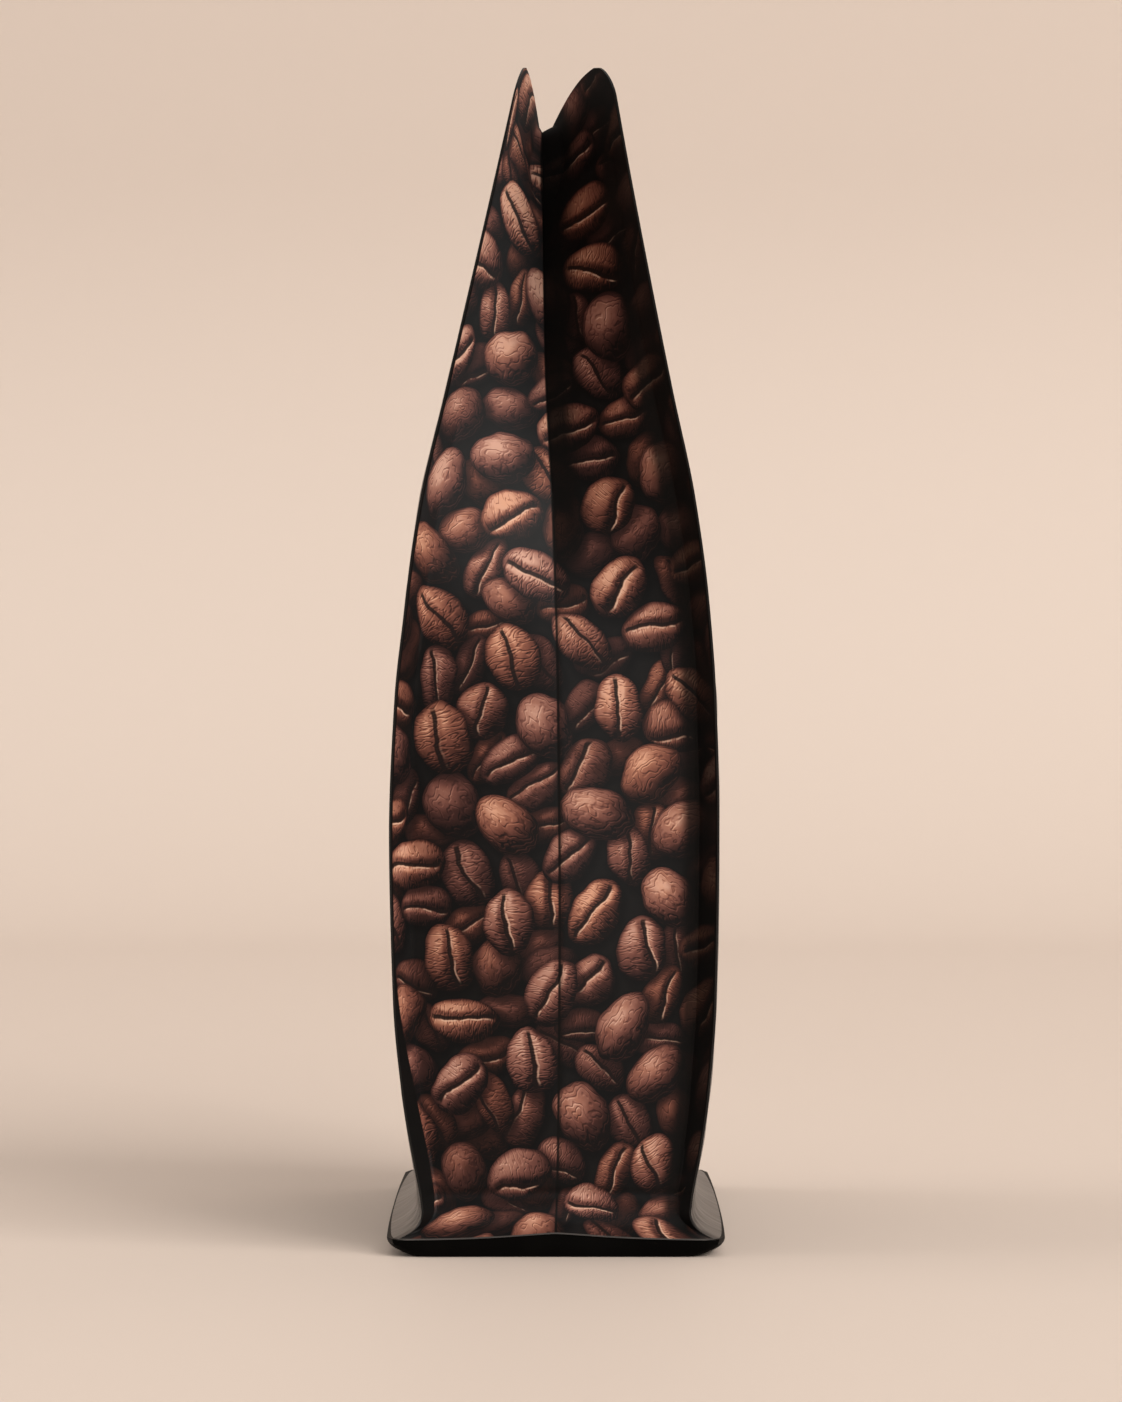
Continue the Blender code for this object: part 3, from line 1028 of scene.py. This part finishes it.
def makeBaseFilm():
    bench, look = Bench("baseFilm"), baseLook
    place = bench.add("ShaderNodeTexCoord", {}, {}, "Object")
    smear = bench.noise(place, 60.0, 3.0, 0.55)
    colour = bench.blend("RGBA", smear.smooth(*wornWhere), look["colour"], look["worn"])
    rough = look["rough"] + (smear - 0.5) * look["roughVary"]
    return bench.finish({"Base Color": colour, "Roughness": rough, "Specular IOR Level": look["specular"]})


print("colouring")
printedFilm, plainFilm, baseFilm = makePrintedFilm(), makePlainFilm(), makeBaseFilm()
for name, film in (
    ("gussetFront", printedFilm), ("gussetBack", printedFilm),
    ("panelLeft", plainFilm), ("panelRight", plainFilm), ("baseFilm", baseFilm),
):
    piece = sheets[name]
    piece.data.materials.clear()
    piece.data.materials.append(film)
    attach(piece, "root")
    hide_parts("pouch")


# the studio, in metres
warm, paler = (1.0, 0.96, 0.92), (1.0, 0.97, 0.93)
studio = {
    "floor": (5.0, 3.6),
    "wallAt": 1.15,
    "wallHeight": 2.4,
    "sweep": 0.3,
    "sweepSteps": 24,
    "smoothBelow": 60,
    "floorColour": (0.545, 0.46, 0.40, 1.0),
    "floorRough": 0.6,
    "sky": (0.79, 0.645, 0.54, 1.0),
    "glow": (1.0, 0.93, 0.86, 1.0),
    "glowStrength": 0.1,
    "aim": (0.0, 0.0, 0.1),
    "lights": (
        {"name": "keyLight", "at": (4.02, -3.43, 3.07), "size": 4.2, "power": 343.0, "colour": warm},
        {"name": "frontLight", "at": (2.1, -5.25, 2.72), "size": 2.45, "power": 147.0, "colour": warm},
        {"name": "sideLight", "at": (-5.25, 0.35, 2.55), "size": 3.85, "power": 122.0, "colour": warm},
        {"name": "topLight", "at": (0.0, 0.0, 3.4), "size": 7.0, "power": 150.0, "colour": paler},
    ),
    "notMirrored": "frontLight",
    "lens": 132.2,
    "cameraAt": (0.0009, -0.965, 0.1092),
    "pitch": 0.71,
}


def pickEdges(piece, wanted):
    bpy.ops.mesh.select_all(action="DESELECT")
    bpy.ops.object.mode_set(mode="OBJECT")
    spots = piece.data.vertices
    for edge in piece.data.edges:
        edge.select = wanted(spots[edge.vertices[0]].co, spots[edge.vertices[1]].co)
    bpy.ops.object.mode_set(mode="EDIT")
    bpy.ops.mesh.select_mode(type="EDGE")


def makeFloor():  # a pale floor that sweeps up into a wall
    wide, deep = studio["floor"]
    bpy.ops.object.select_all(action="DESELECT")
    bpy.ops.mesh.primitive_plane_add(size=1, location=(0, studio["wallAt"] - deep / 2, 0))
    floor = bpy.context.object
    floor.name = floor.data.name = "studioFloor"
    floor.scale = (wide, deep, 1)
    bpy.ops.object.transform_apply(location=True, rotation=True, scale=True)
    bpy.ops.object.mode_set(mode="EDIT")
    back = studio["wallAt"] - 0.01
    pickEdges(floor, lambda a, b: min(a.y, b.y) > back)
    bpy.ops.mesh.extrude_region_move(TRANSFORM_OT_translate={"value": (0, 0, studio["wallHeight"])})
    pickEdges(floor, lambda a, b: min(a.y, b.y) > back and max(a.z, b.z) < 0.01)
    bpy.ops.mesh.bevel(offset=studio["sweep"], segments=studio["sweepSteps"])
    bpy.ops.object.mode_set(mode="OBJECT")
    smoothShade(floor, studio["smoothBelow"])
    surface = {"Base Color": studio["floorColour"], "Roughness": studio["floorRough"]}
    floor.data.materials.append(Bench("studioFloor").finish(surface))


def makeSky():  # the camera sees a plain wall colour, and the bag is lit by a faint glow
    world = bpy.data.worlds.new("studioSky")
    world.use_nodes = True
    nodes, links = world.node_tree.nodes, world.node_tree.links
    seen = nodes["Background"]
    seen.inputs[0].default_value = studio["sky"]
    faint = nodes.new("ShaderNodeBackground")
    faint.inputs[0].default_value = studio["glow"]
    faint.inputs[1].default_value = studio["glowStrength"]
    either = nodes.new("ShaderNodeMixShader")
    links.new(nodes.new("ShaderNodeLightPath").outputs["Is Camera Ray"], either.inputs[0])
    links.new(faint.outputs[0], either.inputs[1])
    links.new(seen.outputs[0], either.inputs[2])
    links.new(either.outputs[0], nodes["World Output"].inputs[0])
    bpy.context.scene.world = world


def makeLights():
    for lamp in studio["lights"]:
        bpy.ops.object.light_add(type="AREA", location=lamp["at"])
        light = bpy.context.object
        light.name = lamp["name"]
        light.data.shape = "RECTANGLE"
        light.data.size = light.data.size_y = lamp["size"]
        light.data.energy = lamp["power"]
        light.data.color = lamp["colour"]
        away = Vector(lamp["at"]) - Vector(studio["aim"])
        light.rotation_euler = away.to_track_quat("Z", "Y").to_euler()
        light.visible_glossy = lamp["name"] != studio["notMirrored"]


def makeCamera():
    tilt = math.radians(90 - studio["pitch"])
    bpy.ops.object.camera_add(location=studio["cameraAt"], rotation=(tilt, 0, 0))
    camera = bpy.context.object
    camera.data.lens = studio["lens"]
    camera.data.clip_start = 0.01
    bpy.context.scene.camera = camera


print("setting up the studio")
makeFloor()
makeSky()
makeLights()
makeCamera()
bpy.context.scene.view_settings.view_transform = "Standard"

bpy.context.view_layer.update()
